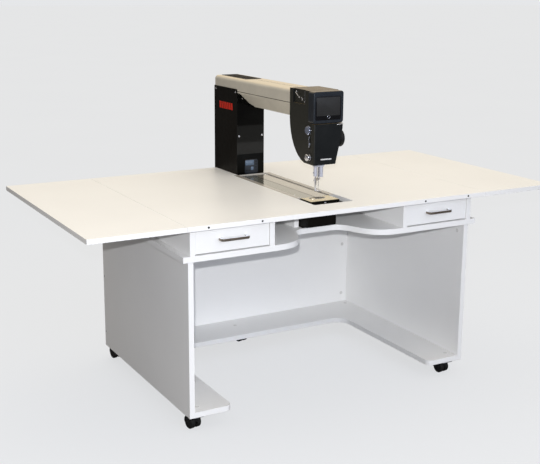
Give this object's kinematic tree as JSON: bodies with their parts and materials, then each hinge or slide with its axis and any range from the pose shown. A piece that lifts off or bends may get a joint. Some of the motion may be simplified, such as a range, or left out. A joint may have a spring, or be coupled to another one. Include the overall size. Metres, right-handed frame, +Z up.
{
  "type": "quilting sewing table",
  "caption": "White board sewing table on casters with drop leaves and drawers, and a long-arm sewing machine let into the top so its bed lies level with the work surface.",
  "frame": {"origin": "centre of the object's footprint box, on the floor under the casters", "axes": "+X to the sewer's right along the table, +Y away from the sewer, +Z up"},
  "size_m": [1.85, 0.916, 1.102],
  "materials": {
    "melamine": "satin white melamine-faced board with matching edging",
    "zinc_steel": "bright zinc-plated steel",
    "brushed_nickel": "satin brushed nickel",
    "black_plastic": "moulded black plastic",
    "wheel_black": "black wheel with a soft tread",
    "black_paint": "satin black paint on sheet metal and castings",
    "gloss_black": "high-gloss black front plate",
    "arm_silver": "warm silver-grey metallic paint on the extruded arm",
    "head_black": "satin moulded black",
    "screen_black": "smooth blue-black housing",
    "chrome": "polished plated steel",
    "plate_steel": "fine brushed steel",
    "clear_acrylic": "clear acrylic with polished edges",
    "shaft_steel": "ground steel"
  },
  "bodies": {
    "root": {"main_top": "melamine", "left_hinge_front_plate": "zinc_steel", "left_hinge_rear_plate": "zinc_steel", "right_hinge_front_plate": "zinc_steel", "right_hinge_rear_plate": "zinc_steel", "left_side_panel": "melamine", "right_side_panel": "melamine", "back_panel": "melamine", "base_board": "melamine", "shelf_board": "melamine", "left_outer_upright": "melamine", "right_outer_upright": "melamine", "left_inner_upright": "melamine", "right_inner_upright": "melamine", "left_insert_support": "melamine", "right_insert_support": "melamine", "machine_base": "black_paint", "column_shell": "black_paint", "column_front_plate": "gloss_black", "arm_upper_shell": "arm_silver", "arm_lower_shell": "arm_silver", "vent_cover": "black_plastic", "head_housing": "head_black", "head_front_cover": "head_black", "screen_housing": "screen_black", "bar_guide_block": "chrome", "bed_housing": "black_paint", "bed_cover": "arm_silver", "needle_plate": "plate_steel", "clear_insert": "clear_acrylic"},
    "left_leaf_body": {"left_leaf": "melamine", "left_hinge_front_flap": "zinc_steel", "left_hinge_rear_flap": "zinc_steel"},
    "right_leaf_body": {"right_leaf": "melamine", "right_hinge_front_flap": "zinc_steel", "right_hinge_rear_flap": "zinc_steel"},
    "left_drawer_body": {"left_drawer_front": "melamine", "left_drawer_box": "melamine", "left_drawer_handle": "brushed_nickel"},
    "right_drawer_body": {"right_drawer_front": "melamine", "right_drawer_box": "melamine", "right_drawer_handle": "brushed_nickel"},
    "front_left_caster_body": {"front_left_caster_hood": "black_plastic"},
    "front_left_wheels_body": {"front_left_caster_wheels": "wheel_black"},
    "front_right_caster_body": {"front_right_caster_hood": "black_plastic"},
    "front_right_wheels_body": {"front_right_caster_wheels": "wheel_black"},
    "rear_left_caster_body": {"rear_left_caster_hood": "black_plastic"},
    "rear_left_wheels_body": {"rear_left_caster_wheels": "wheel_black"},
    "rear_right_caster_body": {"rear_right_caster_hood": "black_plastic"},
    "rear_right_wheels_body": {"rear_right_caster_wheels": "wheel_black"},
    "middle_rear_caster_body": {"middle_rear_caster_hood": "black_plastic"},
    "middle_rear_wheels_body": {"middle_rear_caster_wheels": "wheel_black"},
    "main_shaft_body": {"main_shaft": "shaft_steel"},
    "lower_shaft_body": {"lower_shaft": "shaft_steel"},
    "handwheel_body": {"handwheel": "black_plastic"},
    "needle_bar_body": {"needle_bar": "chrome"},
    "hopping_foot_body": {"hopping_foot": "chrome"},
    "tension_dial_body": {"tension_dial": "chrome"},
    "side_knob_body": {"side_knob": "chrome"},
    "power_switch_body": {"power_switch": "black_plastic"}
  },
  "joints": [
    {"name": "left_leaf_fold", "type": "hinge", "parent": "root", "child": "left_leaf_body", "pos_m": [-0.6005, -0.008, 0.7], "axis": [0, -1, 0], "range_deg": [0, 90]},
    {"name": "right_leaf_fold", "type": "hinge", "parent": "root", "child": "right_leaf_body", "pos_m": [0.6005, -0.008, 0.7], "axis": [0, 1, 0], "range_deg": [0, 90]},
    {"name": "left_drawer_slide", "type": "slide", "parent": "root", "child": "left_drawer_body", "axis": [0, -1, 0], "range_m": [0, 0.29]},
    {"name": "right_drawer_slide", "type": "slide", "parent": "root", "child": "right_drawer_body", "axis": [0, -1, 0], "range_m": [0, 0.29]},
    {"name": "front_left_caster_swivel", "type": "hinge", "parent": "root", "child": "front_left_caster_body", "pos_m": [-0.541, -0.373, 0.045], "axis": [0, 0, 1], "continuous": true},
    {"name": "front_left_caster_roll", "type": "hinge", "parent": "front_left_caster_body", "child": "front_left_wheels_body", "pos_m": [-0.54418, -0.35732, 0.022], "axis": [0.9801, 0.1987, 0], "continuous": true},
    {"name": "front_right_caster_swivel", "type": "hinge", "parent": "root", "child": "front_right_caster_body", "pos_m": [0.511, -0.376, 0.045], "axis": [0, 0, 1], "continuous": true},
    {"name": "front_right_caster_roll", "type": "hinge", "parent": "front_right_caster_body", "child": "front_right_wheels_body", "pos_m": [0.50908, -0.36012, 0.022], "axis": [0.9928, 0.1197, 0], "continuous": true},
    {"name": "rear_left_caster_swivel", "type": "hinge", "parent": "root", "child": "rear_left_caster_body", "pos_m": [-0.536, 0.363, 0.045], "axis": [0, 0, 1], "continuous": true},
    {"name": "rear_left_caster_roll", "type": "hinge", "parent": "rear_left_caster_body", "child": "rear_left_wheels_body", "pos_m": [-0.53839, 0.37882, 0.022], "axis": [0.9888, 0.1494, 0], "continuous": true},
    {"name": "rear_right_caster_swivel", "type": "hinge", "parent": "root", "child": "rear_right_caster_body", "pos_m": [0.545, 0.363, 0.045], "axis": [0, 0, 1], "continuous": true},
    {"name": "rear_right_caster_roll", "type": "hinge", "parent": "rear_right_caster_body", "child": "rear_right_wheels_body", "pos_m": [0.54027, 0.37829, 0.022], "axis": [0.9553, 0.2955, 0], "continuous": true},
    {"name": "middle_rear_caster_swivel", "type": "hinge", "parent": "root", "child": "middle_rear_caster_body", "pos_m": [-0.012, 0.296, 0.045], "axis": [0, 0, 1], "continuous": true},
    {"name": "middle_rear_caster_roll", "type": "hinge", "parent": "middle_rear_caster_body", "child": "middle_rear_wheels_body", "pos_m": [-0.01518, 0.31168, 0.022], "axis": [0.9801, 0.1987, 0], "continuous": true},
    {"name": "main_shaft_turn", "type": "hinge", "parent": "root", "child": "main_shaft_body", "pos_m": [0, 0.122, 1.05], "axis": [0, 1, 0], "continuous": true},
    {"name": "lower_shaft_turn", "type": "hinge", "parent": "root", "child": "lower_shaft_body", "pos_m": [0, 0.052, 0.672], "axis": [0, 1, 0], "continuous": true},
    {"name": "handwheel_turn", "type": "hinge", "parent": "root", "child": "handwheel_body", "pos_m": [0.066, -0.276, 0.932], "axis": [1, 0, 0], "continuous": true},
    {"name": "needle_bar_slide", "type": "slide", "parent": "root", "child": "needle_bar_body", "axis": [0, 0, -1], "range_m": [0, 0.035]},
    {"name": "hopping_foot_slide", "type": "slide", "parent": "root", "child": "hopping_foot_body", "axis": [0, 0, -1], "range_m": [0, 0.0245]},
    {"name": "tension_dial_turn", "type": "hinge", "parent": "root", "child": "tension_dial_body", "pos_m": [-0.06, -0.281, 0.966], "axis": [-1, 0, 0], "range_deg": [-150, 150]},
    {"name": "side_knob_turn", "type": "hinge", "parent": "root", "child": "side_knob_body", "pos_m": [-0.06, -0.291, 0.873], "axis": [-1, 0, 0], "range_deg": [-150, 150]},
    {"name": "power_switch_rock", "type": "hinge", "parent": "root", "child": "power_switch_body", "pos_m": [-0.03, 0.455, 0.76], "axis": [1, 0, 0], "range_deg": [-4, 4]}
  ],
  "couplings": [
    {"joint": "lower_shaft_turn", "follows": "main_shaft_turn", "ratio": 2},
    {"joint": "handwheel_turn", "follows": "main_shaft_turn", "ratio": 1}
  ]
}
